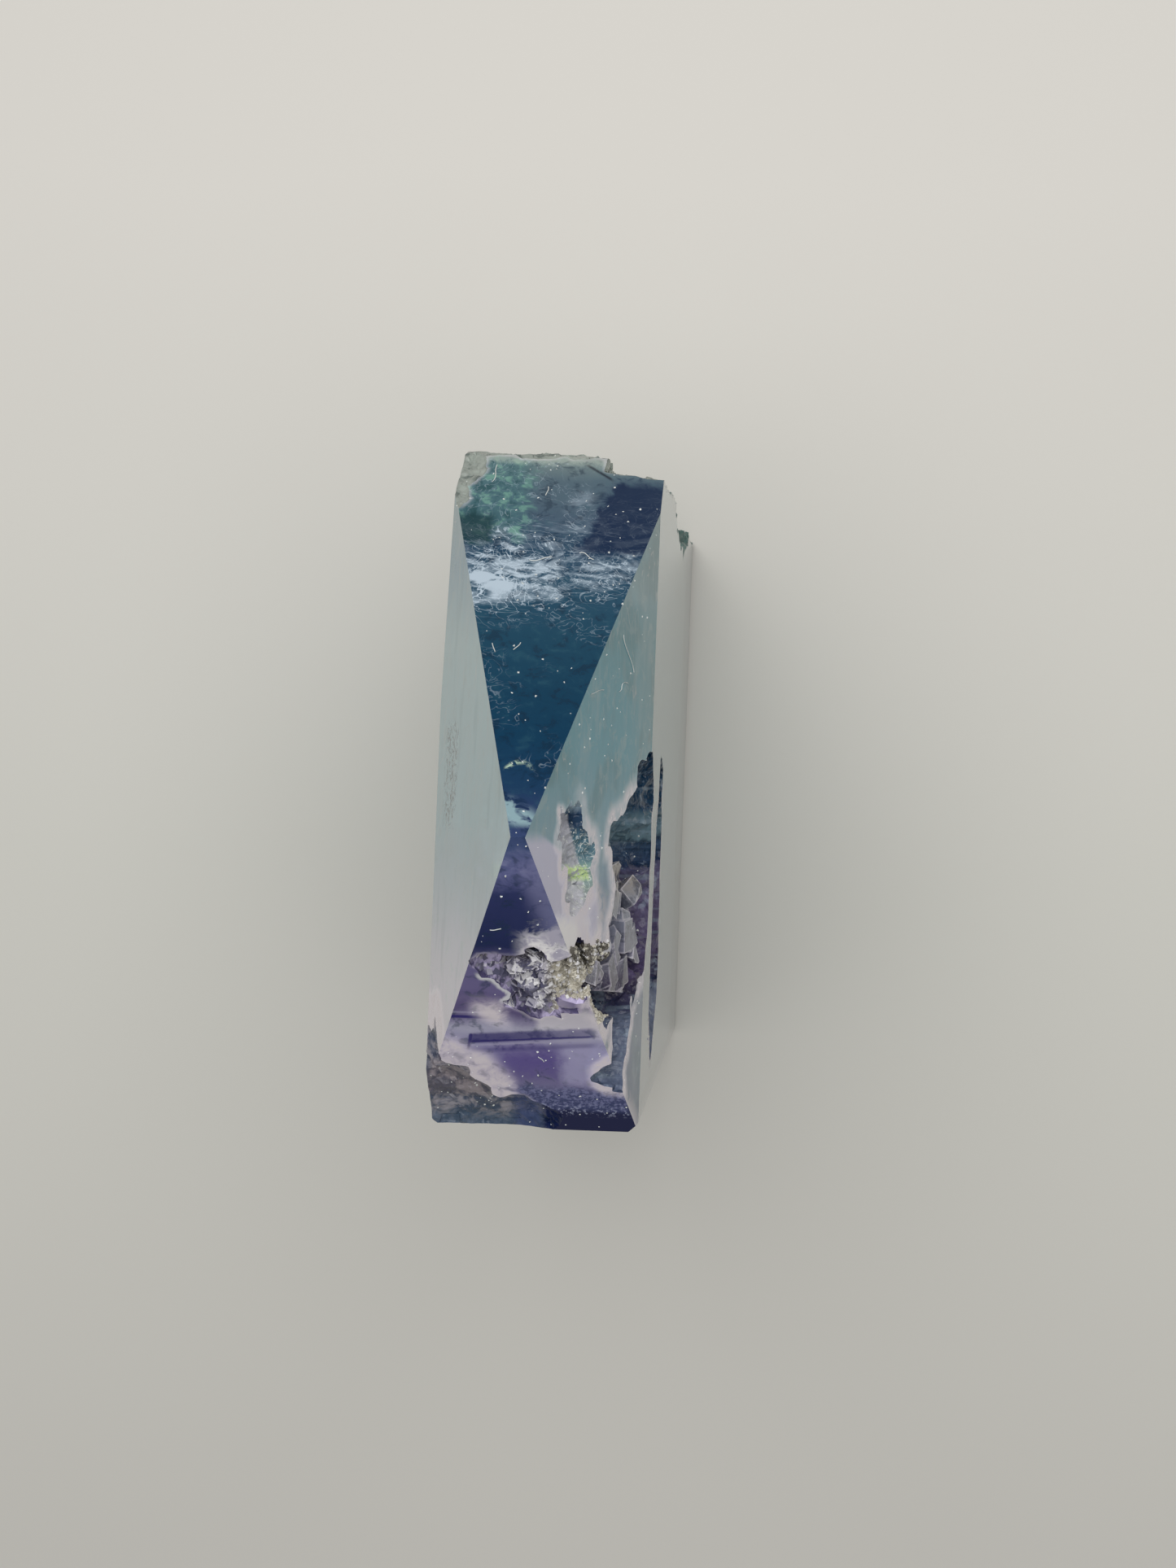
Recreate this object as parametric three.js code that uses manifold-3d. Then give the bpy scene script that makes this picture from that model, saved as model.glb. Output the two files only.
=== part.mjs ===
// A polished point of banded fluorite: a slab-like tower on a flat sawn base, with four flat side faces and
// four tip facets that meet in a short ridge. One end, one corner of the tip and several hollows keep the
// natural broken surface, and two of the hollows are lined with small crystals.
// Units are millimetres, +Z up. X runs along the slab and Y through it, and the origin is the middle of the
// base's bounding rectangle.
import * as THREE from "three";
import { mergeVertices } from "three/addons/utils/BufferGeometryUtils.js";
import Module from "manifold-3d";

const wasm = await Module();
wasm.setup();

// ---- driving dimensions ----
const HALF_LENGTH = 21.3; // origin to the polished end, and to the natural end's furthest lump
const FRONT = 6.6; // origin to the front face
const BACK = { polished: 6.2, bend: 6.6, natural: 6.05 }; // origin to the slightly bent back face
const BEND_X = 4.7; // where the back face bends
const SHOULDER = 56.3; // height of the front facet's lower edge
const TIP = 79.3; // height of the ridge above the base
const BASE_BEVEL = 0.4;
const CORNER_BEVEL = 0.6; // how far the front polished corner is cut back along each face
const CRUST_GAP = 0.3; // clear space between a crust and the wall it grew on
const CRUST_SUNK = 0.25; // how far the tallest crystals stay below the polished surface
const FAR = 200; // longer than the stone
const DEEPEST = 8; // no hollow goes further in than this

const point = (x, y, z) => new THREE.Vector3(x, y, z);

// The ridge's two ends, and a point of each hip edge near its shoulder.
const RIDGE_BACK = point(-2.6, -0.55, TIP);
const RIDGE_FRONT = point(-2.8, -1.3, TIP - 0.1);
const RIDGE_MIDDLE = RIDGE_BACK.clone().lerp(RIDGE_FRONT, 0.5);
const HIP_BACK_POLISHED = point(-18.1, 5.8, 61.2);
const HIP_BACK_NATURAL = point(16.2, 5.55, 58.8);
const HIP_FRONT_POLISHED = point(-HALF_LENGTH, -FRONT, SHOULDER);
const HIP_FRONT_NATURAL = point(17, -FRONT, SHOULDER);

// A polished plane: a point of it, and its outward normal from that point and two more.
function facet(a, b, c) {
  const normal = b.clone().sub(a).cross(c.clone().sub(a)).normalize();
  return { at: a, normal: normal.z < 0 ? normal.negate() : normal };
}

const FACETS = {
  back: facet(RIDGE_BACK, HIP_BACK_NATURAL, HIP_BACK_POLISHED),
  front: facet(RIDGE_FRONT, HIP_FRONT_NATURAL, HIP_FRONT_POLISHED),
  natural: facet(RIDGE_MIDDLE, HIP_BACK_NATURAL, HIP_FRONT_NATURAL),
  polished: facet(RIDGE_MIDDLE, HIP_BACK_POLISHED, HIP_FRONT_POLISHED),
};
const FRONT_FACE = { at: point(0, -FRONT, 0), normal: point(0, -1, 0) };

// The spot of a polished plane that is met by going from a point along a direction.
function onto({ at, normal }, from, direction) {
  const far = at.clone().sub(from).dot(normal) / direction.dot(normal);
  return from.clone().addScaledVector(direction, far);
}

const above = (plane, x, y) => onto(plane, point(x, y, 0), point(0, 0, 1));
const inFront = (plane, x, z) => onto(plane, point(x, 0, z), point(0, -1, 0));

// ---- noise and chance, the same on every run ----
function hash(x, y, z, seed) {
  const s = Math.sin(x * 127.1 + y * 311.7 + z * 74.7 + seed * 53.3) * 43758.5453;
  return s - Math.floor(s);
}

function smoothNoise(u, v, seed) {
  const [x, y] = [Math.floor(u), Math.floor(v)];
  const ease = (t) => t * t * (3 - 2 * t);
  const mix = THREE.MathUtils.lerp;
  const along = (j) => mix(hash(x, y + j, 0, seed), hash(x + 1, y + j, 0, seed), ease(u - x));
  return mix(along(0), along(1), ease(v - y)) * 2 - 1;
}

// Flat plates at heights of their own, with a step from each to the next, as cleavage leaves.
function plates(u, v, seed) {
  let nearest = Infinity;
  let height = 0;
  for (let i = -1; i <= 1; i++) {
    for (let j = -1; j <= 1; j++) {
      const [x, y] = [Math.floor(u) + i, Math.floor(v) + j];
      const [a, b] = [x + hash(x, y, 1, seed), y + hash(x, y, 2, seed)];
      const away = Math.abs(a - u) + Math.abs(b - v);
      if (away < nearest) [nearest, height] = [away, hash(x, y, 3, seed) * 2 - 1];
    }
  }
  return height;
}

// A broken surface of one grain size, from about -1 to 1.
function brokenness(u, v, grain, seed) {
  const coarse = plates(u / grain, v / grain, seed);
  const soft = smoothNoise(u / grain, v / grain, seed + 5);
  const fine = smoothNoise((u * 2.6) / grain, (v * 2.6) / grain, seed + 9);
  return coarse * 0.4 + soft * 0.35 + fine * 0.25;
}

function chance(seed) {
  let drawn = 0;
  return (low, high) => low + (high - low) * hash(drawn++, 3.1, 7.7, seed);
}

// ---- solids ----
function solid(geometry) {
  const bare = geometry.clone();
  bare.deleteAttribute("normal");
  bare.deleteAttribute("uv");
  const merged = mergeVertices(bare, 1e-4);
  const vertProperties = merged.attributes.position.array;
  const triVerts = new Uint32Array(merged.index.array);
  return new wasm.Manifold(new wasm.Mesh({ numProp: 3, vertProperties, triVerts }));
}

const joined = (solids) => solids.reduce((whole, piece) => whole.add(piece));

// A matrix with its Z along a direction and its X level: U runs level on a plane, V up it, W out of it.
function facing(normal, at) {
  const z = normal.clone().normalize();
  const x = point(0, 0, 1).cross(z).normalize();
  return new THREE.Matrix4().makeBasis(x, z.clone().cross(x), z).setPosition(at);
}

// A block that covers everything on the outer side of a plane.
function beyond({ at, normal }) {
  const block = new THREE.BoxGeometry(FAR, FAR, FAR).translate(0, 0, FAR / 2);
  return solid(block.applyMatrix4(facing(normal, at)));
}

// The same with an uneven near side: height(u, v) is how far that lies out of the plane, over one patch.
function patch({ at, normal, across, up, cell }, height) {
  const thick = 14; // its far side is flat, this far out at most
  const [columns, rows] = [Math.round(across / cell), Math.round(up / cell)];
  const geometry = new THREE.BoxGeometry(across, up, thick, columns, rows, 1).translate(0, 0, thick / 2);
  const spots = geometry.attributes.position;
  for (let i = 0; i < spots.count; i++) {
    if (spots.getZ(i) < thick / 2) spots.setZ(i, height(spots.getX(i), spots.getY(i)));
  }
  return solid(geometry.applyMatrix4(facing(normal, at)));
}

// ---- the polished block ----
function polishedBlock() {
  const block = new THREE.BoxGeometry(2 * HALF_LENGTH + 2, 2 * FRONT + 2, TIP + 1);
  block.translate(0, 0, (TIP + 1) / 2);
  const bend = point(BEND_X, BACK.bend, 0);
  const backTo = (x, y) => point(bend.y - y, x - bend.x, 0).multiplyScalar(Math.sign(x - bend.x));
  const frontCorner = point(-HALF_LENGTH, -FRONT, 0);
  const backCorner = point(-HALF_LENGTH, BACK.polished, 0);
  const cuts = [
    ...Object.values(FACETS),
    FRONT_FACE,
    { normal: point(-1, 0, 0), at: frontCorner },
    { normal: backTo(-HALF_LENGTH, BACK.polished), at: bend },
    { normal: backTo(HALF_LENGTH, BACK.natural), at: bend },
    // The bevels down the two polished corners, and round the foot.
    { normal: point(-1, -1, 0), at: frontCorner.clone().add(point(CORNER_BEVEL, 0, 0)) },
    { normal: point(-1, 1, 0), at: backCorner.clone().add(point(CORNER_BEVEL / 2, 0, 0)) },
    { normal: point(-1, 0, -1), at: point(-HALF_LENGTH + BASE_BEVEL, 0, 0) },
    { normal: point(0, -1, -1), at: point(0, -FRONT + BASE_BEVEL, 0) },
    { normal: point(0, 1, -1), at: point(0, BACK.polished - BASE_BEVEL, 0) },
  ];
  return cuts.reduce((left, cut) => left.subtract(beyond(cut)), solid(block));
}

// ---- natural breaks ----
// The natural end, the step in it towards the front edge, and the chips all along its top edge.
const END_BREAK = { across: 26, up: 90, cell: 1.7, relief: 0.5, grain: 5 };
const RIM_CHIPS = { across: 20, up: 9, cell: 0.8, relief: 0.3, grain: 2 };
const BREAKS = [
  { ...END_BREAK, normal: point(1, 0, 0.005), at: point(20.9, 0, 30), seed: 3 },
  { ...END_BREAK, normal: point(1, -0.1, 0.02), at: point(19.1, -15.8, 30), seed: 11 },
  { ...RIM_CHIPS, normal: point(1, 0, 0.3), at: point(20.6, 1, 53.3), seed: 5 },
];

const breakOff = (one) => patch(one, (u, v) => one.relief * brokenness(u, v, one.grain, one.seed));

// ---- hollows ----
// Each is a patch of one polished plane with bowls sunk in it. A bowl's middle is a spot of that plane, and
// wide, tall and deep are its half sizes across the plane and its depth.
const LOW_CORNER = {
  plane: FACETS.polished,
  middle: above(FACETS.polished, -19.2, 3.2),
  span: [15, 13],
  cell: 0.75,
  rough: { relief: 0.35, grain: 1.7, seed: 21 },
  bowls: [
    { at: above(FACETS.polished, -19.6, 5.2), wide: 3.4, tall: 4.6, deep: 1.4 },
    { at: above(FACETS.polished, -20.8, 1.4), wide: 3.4, tall: 3, deep: 1.1 },
    { at: above(FACETS.polished, -16, 7.3), wide: 2.5, tall: 4.8, deep: 5 },
  ],
};
const END_CORNER = {
  plane: FACETS.natural,
  middle: above(FACETS.natural, 18.6, 5.6),
  span: [6, 8],
  cell: 0.6,
  rough: { relief: 0.12, grain: 1.5, seed: 6 },
  bowls: [
    { at: above(FACETS.natural, 19.8, 6.1), wide: 1.6, tall: 2.7, deep: 0.4 },
    { at: above(FACETS.natural, 17.6, 6.3), wide: 1.2, tall: 1.8, deep: 0.35 },
  ],
};
const FACE_HOLLOW = {
  plane: FRONT_FACE,
  middle: inFront(FRONT_FACE, -9, 43),
  span: [22, 15],
  cell: 0.9,
  rough: { relief: 0.55, grain: 2.6, seed: 31 },
  bowls: [
    { at: inFront(FRONT_FACE, -4, 43), wide: 6, tall: 3.6, deep: 1.2 },
    { at: inFront(FRONT_FACE, -11, 43.4), wide: 7, tall: 5.4, deep: 1.6 },
  ],
};
const RIDGE_HOLLOW = {
  plane: FACETS.front,
  middle: inFront(FACETS.front, -3.8, 70.4),
  span: [8, 8],
  cell: 0.45,
  rough: { relief: 0.45, grain: 1.1, seed: 41 },
  bowls: [
    { at: inFront(FACETS.front, -2.4, 71.6), wide: 1.9, tall: 2.2, deep: 1.1 },
    { at: inFront(FACETS.front, -4.8, 69.8), wide: 2.2, tall: 2.4, deep: 1.4 },
  ],
};
const FOOT_CHIP = {
  plane: FRONT_FACE,
  middle: inFront(FRONT_FACE, 19.5, 23),
  span: [6, 28],
  cell: 1,
  rough: { relief: 0.5, grain: 2.2, seed: 12 },
  bowls: [{ at: inFront(FRONT_FACE, 20.4, 23), wide: 2.6, tall: 12, deep: 1.4 }],
};

// The two crystal-lined hollows. The upper one opens in the facet over the polished end, the side one across
// the front shoulder, and they meet at the polished hip edge.
const UPPER_HOLLOW = {
  plane: FACETS.polished,
  middle: above(FACETS.polished, -11.2, -1.4),
  span: [11, 10],
  cell: 0.45,
  rough: { relief: 0.5, grain: 1.3, seed: 51 },
  bowls: [
    { at: above(FACETS.polished, -10.2, 1.2), wide: 1.5, tall: 1.6, deep: 1 },
    { at: above(FACETS.polished, -11, -0.8), wide: 1.9, tall: 2.9, deep: 2.1 },
    { at: above(FACETS.polished, -10.8, -3.2), wide: 2, tall: 2.5, deep: 2.5 },
    { at: above(FACETS.polished, -12.6, -1.6), wide: 1.4, tall: 1.6, deep: 1.2 },
  ],
};
const SIDE_HOLLOW = {
  plane: FACETS.front,
  middle: inFront(FACETS.front, -8.2, 59.5),
  span: [25, 19],
  cell: 0.6,
  rough: { relief: 0.55, grain: 1.9, seed: 61 },
  bowls: [
    { at: inFront(FACETS.front, 0, 55.4), wide: 2.4, tall: 4.4, deep: 1.3 },
    { at: inFront(FACETS.front, -3.6, 58.4), wide: 3.2, tall: 6, deep: 2.7 },
    { at: inFront(FACETS.front, -8, 58.6), wide: 3.8, tall: 5.4, deep: 3 },
    { at: inFront(FACETS.front, -11.4, 63), wide: 2.2, tall: 5, deep: 2.2 },
    { at: inFront(FACETS.front, -15.3, 61), wide: 4, tall: 1.7, deep: 1.9 },
  ],
};

// How deep a hollow is at a spot of its patch: its deepest bowl there, less or more by the broken surface.
// The bowls' outlines wander, by as much as the surface is rough.
function depthOf({ plane, middle, bowls, rough }) {
  const { relief, grain, seed } = rough;
  const toPatch = facing(plane.normal, middle).invert();
  const sunk = bowls.map((bowl) => ({ ...bowl, spot: bowl.at.clone().applyMatrix4(toPatch) }));
  return (u, v) => {
    const wander = (n) => 1.6 * relief * smoothNoise((u * 1.3) / grain, (v * 1.3) / grain, seed + n);
    const [a, b] = [u + wander(1), v + wander(2)];
    const bowlDepth = ({ spot, wide, tall, deep }) =>
      deep * (1 - Math.hypot((a - spot.x) / wide, (b - spot.y) / tall) ** 3);
    return Math.max(...sunk.map(bowlDepth)) + relief * brokenness(u, v, grain, seed);
  };
}

function cutterOf(hollow, depth = depthOf(hollow)) {
  const { plane, middle, span, cell } = hollow;
  const outside = 2; // where there is no hollow, the cutter's near side stays clear of the stone
  const height = (u, v) => THREE.MathUtils.clamp(-depth(u, v), -DEEPEST, outside);
  return patch({ at: middle, normal: plane.normal, across: span[0], up: span[1], cell }, height);
}

// ---- crusts ----
// A crystal is made standing on the origin along +Z, from flat-faced stock.
function blockCrystal(wide, tall) {
  const buried = 0.2 * tall;
  return new THREE.BoxGeometry(wide, wide * 0.8, tall).translate(0, 0, tall / 2 - buried);
}

function pointedCrystal(wide, tall) {
  const [foot, neck, apex] = [-0.4 * tall, 0.45 * tall, 0.8 * tall];
  const outline = [
    new THREE.Vector2(0, foot),
    new THREE.Vector2(wide / 2, foot),
    new THREE.Vector2(wide / 2, neck),
    new THREE.Vector2(0, apex),
  ];
  return new THREE.LatheGeometry(outline, 6).rotateX(Math.PI / 2);
}

// What has grown in a hollow: a lumpy bed over the floor of some of its bowls, with crystals standing on it.
function crust(hollow, { bowls, bed, covers, count, wide, tall, lean, crystal, seed }) {
  const depth = depthOf(hollow);
  const clear = 1.5 * CRUST_GAP;
  const beside = (u, v) => [0, 1, 2, 3, 4, 5, 6, 7].map((eighth) => {
    const turn = (eighth * Math.PI) / 4;
    return depth(u + clear * Math.cos(turn), v + clear * Math.sin(turn));
  });
  const room = cutterOf(hollow, (u, v) => Math.min(depth(u, v), ...beside(u, v)) - CRUST_GAP);
  const { plane, middle, span, cell } = hollow;
  const over = { at: middle, normal: plane.normal, across: span[0] + 2, up: span[1] + 2, cell };
  const floor = room.subtract(patch(over, (u, v) => 0.3 * brokenness(u, v, 1.4, seed) - bed));
  const pick = chance(seed);
  const crystals = [];
  for (let i = 0; i < count; i++) {
    const home = bowls[i % bowls.length];
    const place = facing(plane.normal, home.at);
    const at = point(pick(-0.8, 0.8) * home.wide, pick(-0.8, 0.8) * home.tall, -bed).applyMatrix4(place);
    const spin = new THREE.Matrix4().makeRotationZ(pick(0, Math.PI));
    const stock = crystal(pick(...wide), pick(...tall)).applyMatrix4(spin);
    const leaning = plane.normal.clone().add(point(pick(-lean, lean), pick(-lean, lean), pick(-lean, lean)));
    crystals.push(solid(stock.applyMatrix4(facing(leaning, at))));
  }
  let grown = joined([floor, ...crystals]).intersect(room);
  for (const { at, normal } of covers) {
    grown = grown.subtract(beyond({ normal, at: at.clone().addScaledVector(normal, -CRUST_SUNK) }));
  }
  return grown.decompose().sort((a, b) => b.volume() - a.volume())[0];
}

const upperCrust = () =>
  crust(UPPER_HOLLOW, {
    bowls: UPPER_HOLLOW.bowls,
    bed: 0.85,
    covers: [FACETS.polished, FACETS.front],
    count: 64,
    wide: [0.5, 1],
    tall: [0.7, 1.5],
    lean: 0.8,
    crystal: pointedCrystal,
    seed: 71,
  });

// The side crust stops at two growth faces, and leaves the rest of its hollow bare.
const SIDE_CRUST_ENDS = [
  { at: point(-5, 0, 60), normal: point(1, 0, 0.2) },
  { at: point(-12.6, 0, 60), normal: point(-1, 0, 0.1) },
];

const sideCrust = () =>
  crust(SIDE_HOLLOW, {
    bowls: SIDE_HOLLOW.bowls.slice(2, 4),
    bed: 1.7,
    covers: [FACETS.front, FRONT_FACE, ...SIDE_CRUST_ENDS],
    count: 26,
    wide: [1, 2.2],
    tall: [1.2, 2.6],
    lean: 0.5,
    crystal: blockCrystal,
    seed: 81,
  });

function fluoritePoint() {
  const hollows = [LOW_CORNER, END_CORNER, FACE_HOLLOW, RIDGE_HOLLOW, FOOT_CHIP, UPPER_HOLLOW, SIDE_HOLLOW];
  const gone = [...BREAKS.map(breakOff), ...hollows.map((hollow) => cutterOf(hollow))];
  const left = gone.reduce((stone, piece) => stone.subtract(piece), polishedBlock());
  return left.decompose().sort((a, b) => b.volume() - a.volume())[0];
}

// ---- the exported group ----
function meshOf(name, made, material) {
  const { vertProperties, triVerts } = made.getMesh();
  const geometry = new THREE.BufferGeometry();
  geometry.setAttribute("position", new THREE.BufferAttribute(new Float32Array(vertProperties), 3));
  geometry.setIndex(new THREE.BufferAttribute(new Uint32Array(triVerts), 1));
  const facetted = geometry.toNonIndexed();
  facetted.computeVertexNormals();
  const mesh = new THREE.Mesh(facetted, material);
  mesh.name = name;
  return mesh;
}

const fluorite = new THREE.MeshStandardMaterial({ color: 0x2f6470, roughness: 0.08, metalness: 0 });
const druse = new THREE.MeshStandardMaterial({ color: 0xb4b0ac, roughness: 0.35, metalness: 0 });
const blocks = new THREE.MeshStandardMaterial({ color: 0x9d9ab0, roughness: 0.2, metalness: 0 });

const stone = new THREE.Group();
stone.add(
  meshOf("fluorite_point", fluoritePoint(), fluorite),
  meshOf("upper_hollow_crust", upperCrust(), druse),
  meshOf("side_hollow_crust", sideCrust(), blocks),
);
export default stone;
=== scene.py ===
# %% [markdown]
# # A polished point of banded fluorite
# This lesson dresses a measured stone for its portrait. The frame gives the stone's exact solids: a
# polished tower with a broken end and broken hollows, and the crusts of crystals that line two of the
# hollows. Each step makes one piece or one finish, and says what it is on the real stone, how it could be
# made, and why it is made the way it is.

# %% Load the measured stone
import math

import bmesh
import bpy
from mathutils import Euler, Matrix, Vector, bvhtree, kdtree, noise


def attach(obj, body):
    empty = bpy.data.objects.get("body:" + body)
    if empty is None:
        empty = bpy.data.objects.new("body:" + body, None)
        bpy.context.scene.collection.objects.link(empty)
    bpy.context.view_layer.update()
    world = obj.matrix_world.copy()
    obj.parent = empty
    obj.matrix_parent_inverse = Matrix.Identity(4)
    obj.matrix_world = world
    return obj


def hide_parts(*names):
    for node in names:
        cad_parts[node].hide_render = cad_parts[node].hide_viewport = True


noise.seed_set(4)  # without a seed of its own, the vector noise changes from run to run
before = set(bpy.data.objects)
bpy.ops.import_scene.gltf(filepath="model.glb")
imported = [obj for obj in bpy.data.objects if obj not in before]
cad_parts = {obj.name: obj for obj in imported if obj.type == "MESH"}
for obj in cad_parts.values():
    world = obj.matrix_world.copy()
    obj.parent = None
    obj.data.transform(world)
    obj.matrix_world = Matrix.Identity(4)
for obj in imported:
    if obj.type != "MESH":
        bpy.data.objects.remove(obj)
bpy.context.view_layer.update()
scene = bpy.context.scene
MM = 0.001
SAME_SPOT = 0.0005 * MM  # corners this close are one corner
FLUORITE_IOR = 1.434

# %% [markdown]
# ## A small kit for node trees
# A material and a Geometry Nodes group are both trees of nodes with sockets. Building them in code is
# mostly "add a node, fill its inputs", so one helper does that for both: an input given as a socket is
# linked, and anything else is set as its value. Most of the nodes here do sums, so a number in a tree gets
# Python's operators: `x + y * 2.0` adds the two Math nodes that it says.


# %% Numbers in a tree
class Value:
    """A number in a node tree, known by the socket that gives it."""

    def __init__(self, tree, socket):
        self.tree = tree
        self.socket = socket

    def __add__(self, other):
        return self.tree.math("ADD", self, other)

    def __sub__(self, other):
        return self.tree.math("SUBTRACT", self, other)

    def __rsub__(self, other):
        return self.tree.math("SUBTRACT", other, self)

    def __mul__(self, other):
        return self.tree.math("MULTIPLY", self, other)

    def __abs__(self):
        return self.tree.math("ABSOLUTE", self)

    __radd__ = __add__
    __rmul__ = __mul__

    def at_most(self, highest):
        return self.tree.math("MINIMUM", self, highest)

    def between(self, low, high, to_low=0.0, to_high=1.0):
        """A soft step: to_low below low, to_high above high, and an ease between them."""
        inputs = {"Value": self, "From Min": low, "From Max": high, "To Min": to_low, "To Max": to_high}
        node = self.tree.add("ShaderNodeMapRange", inputs, interpolation_type="SMOOTHSTEP")
        return Value(self.tree, node.outputs["Result"])

    def hump(self, middle, half_width):
        """1 at middle, easing to 0 at half_width on both sides."""
        return abs(self - middle).between(0.0, half_width, 1.0, 0.0)

    def band(self, low, high, soft):
        """1 from low to high, with soft borders."""
        return self.between(low - soft, low + soft) * self.between(high + soft, high - soft)


def largest(first, *others):
    for other in others:
        first = first.tree.math("MAXIMUM", first, other)
    return first


# %% The node kit
class Tree:
    """A node tree that is easy to add to."""

    def __init__(self, nodes_and_links):
        self.nodes = nodes_and_links.nodes
        self.links = nodes_and_links.links

    def fill(self, node, inputs):
        """Links the inputs that are given as sockets, and sets the others."""
        for key, value in inputs.items():
            if isinstance(value, Value):
                value = value.socket
            if isinstance(value, bpy.types.NodeSocket):
                self.links.new(value, node.inputs[key])
            else:
                node.inputs[key].default_value = value

    def add(self, kind, inputs=None, **settings):
        node = self.nodes.new(kind)
        for name, value in settings.items():
            setattr(node, name, value)
        self.fill(node, inputs or {})
        return node

    def math(self, operation, a, b=0.0):
        return Value(self, self.add("ShaderNodeMath", {0: a, 1: b}, operation=operation).outputs[0])

    def mix(self, share, a, b):
        """A blend of two colours."""
        return self.add("ShaderNodeMix", {0: share, 6: a, 7: b}, data_type="RGBA").outputs[2]

    def vector(self, x, y, z):
        return self.add("ShaderNodeCombineXYZ", {"X": x, "Y": y, "Z": z}).outputs[0]

    def axes(self, vector):
        """The three numbers of a vector."""
        outputs = self.add("ShaderNodeSeparateXYZ", {"Vector": vector}).outputs
        return [Value(self, outputs[axis]) for axis in "XYZ"]

    def attribute(self, name):
        return Value(self, self.add("ShaderNodeAttribute", attribute_name=name).outputs["Fac"])

    def stretched(self, at, x, y, z):
        """A vector, or a colour, scaled by axis."""
        return self.add("ShaderNodeVectorMath", {0: at, 1: (x, y, z)}, operation="MULTIPLY").outputs[0]

    def noise(self, at, scale, detail, rough=0.5, twist=0.0):
        """Clouds; with three scales, drawn out along the axis that has the smallest one."""
        if isinstance(scale, tuple):
            at = self.stretched(at, *scale)
            scale = 1.0
        inputs = {"Vector": at, "Scale": scale, "Detail": detail, "Roughness": rough, "Distortion": twist}
        return Value(self, self.add("ShaderNodeTexNoise", inputs).outputs["Fac"])

    def threads(self, at, scale, twist, half_width, detail):
        """Thin curling lines, where a noise passes through its middle value."""
        return self.noise(at, scale, detail, 0.5, twist).hump(0.5, half_width)

    def painted(self, colour, *coats):
        """A colour under some coats of paint: each is (where, share of cover, paint)."""
        for where, share, paint in coats:
            colour = self.mix(where * share, colour, paint)
        return colour

    def bands(self, value, stops):
        """Colours laid along a value: each stop is (place, colour), from the lowest place up."""
        low = stops[0][0]
        high = stops[-1][0]
        spread = self.add("ShaderNodeMapRange", {"Value": value, "From Min": low, "From Max": high})
        node = self.add("ShaderNodeValToRGB", {"Fac": spread.outputs["Result"]})
        ramp = node.color_ramp
        while len(ramp.elements) < len(stops):
            ramp.elements.new(0.5)
        for element, (place, colour) in zip(ramp.elements, stops):
            element.position = (place - low) / (high - low)
            element.color = colour
        return node.outputs["Color"]


def srgb(red, green, blue):
    """A screen colour, 0 to 255, as the linear values that Blender calculates with."""
    shown = [c / 255 for c in (red, green, blue)]
    linear = [c / 12.92 if c < 0.0404 else ((c + 0.055) / 1.055) ** 2.4 for c in shown]
    return (*linear, 1.0)


def stops(paint, *rows):
    """The stops of some bands, from rows of place, red, green and blue."""
    return [(place, paint(*screen)) for place, *screen in rows]


def new_material(name):
    """A material, its tree, its Principled and output nodes, and the object's coordinates in mm."""
    material = bpy.data.materials.new(name)
    material.use_nodes = True
    material.node_tree.nodes.clear()
    tree = Tree(material.node_tree)
    principled = tree.add("ShaderNodeBsdfPrincipled")
    output = tree.add("ShaderNodeOutputMaterial", {"Surface": principled.outputs["BSDF"]})
    where = tree.add("ShaderNodeTexCoord").outputs["Object"]
    in_mm = tree.stretched(where, 1 / MM, 1 / MM, 1 / MM)
    return material, tree, principled, output, in_mm


# %% Objects and meshes
def in_scene(name, data):
    """A new object with this data."""
    made = bpy.data.objects.new(name, data)
    scene.collection.objects.link(made)
    return made


def shape_of(*meshes):
    """A bmesh that holds some meshes."""
    bm = bmesh.new()
    for mesh in meshes:
        bm.from_mesh(mesh)
    return bm


def mesh_of(bm, name):
    """The mesh of a bmesh that isn't needed any more."""
    mesh = bpy.data.meshes.new(name)
    bm.to_mesh(mesh)
    bm.free()
    return mesh


def store(mesh, name, domain, values):
    """Keeps a number for each face or corner, where a material can read it."""
    mesh.attributes.new(name, "FLOAT", domain).data.foreach_set("value", values)


def lookup(points):
    """A table that finds the nearest of some points."""
    near = kdtree.KDTree(len(points))
    for index, point in enumerate(points):
        near.insert(point, index)
    near.balance()
    return near


def distances(bm, near, farthest):
    """How far each corner is from the nearest point of a lookup, in mm, up to a limit."""
    return [min(near.find(vert.co)[2] / MM, farthest) for vert in bm.verts]


# %% [markdown]
# ## Camera, table and light
# The stone is looked at from almost straight above, from about 20 cm, which makes the near tip large and
# the foot small. It stands on a pale table in soft light that is a little stronger from its broken end. A
# uniform world lights it from everywhere, as a white room does, and one large area light gives the
# direction.

# %% Camera
EYE = Vector((0.82, -14.0, 201.67)) * MM
TILT = Euler((math.radians(4.446), math.radians(0.115), math.radians(2.11)), "XYZ")
LENGTHWISE = Matrix(((0, 1, 0), (-1, 0, 0), (0, 0, 1)))  # picture up is +X, picture right is -Y

lens = bpy.data.cameras.new("camera")
lens.lens = 54.07
lens.sensor_width = 36
lens.clip_start = 0.005
camera = in_scene("camera", lens)
camera.matrix_world = Matrix.Translation(EYE) @ (TILT.to_matrix() @ LENGTHWISE).to_4x4()
scene.camera = camera
print("camera height above the table, in mm:", round(EYE.z / MM))

# %% Table
UNDER_STONE = 0.05 * MM  # a hair of air, so that base and table are never the same surface
TABLE_HALF = 2.5  # m, so that no edge of the table is in view


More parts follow.
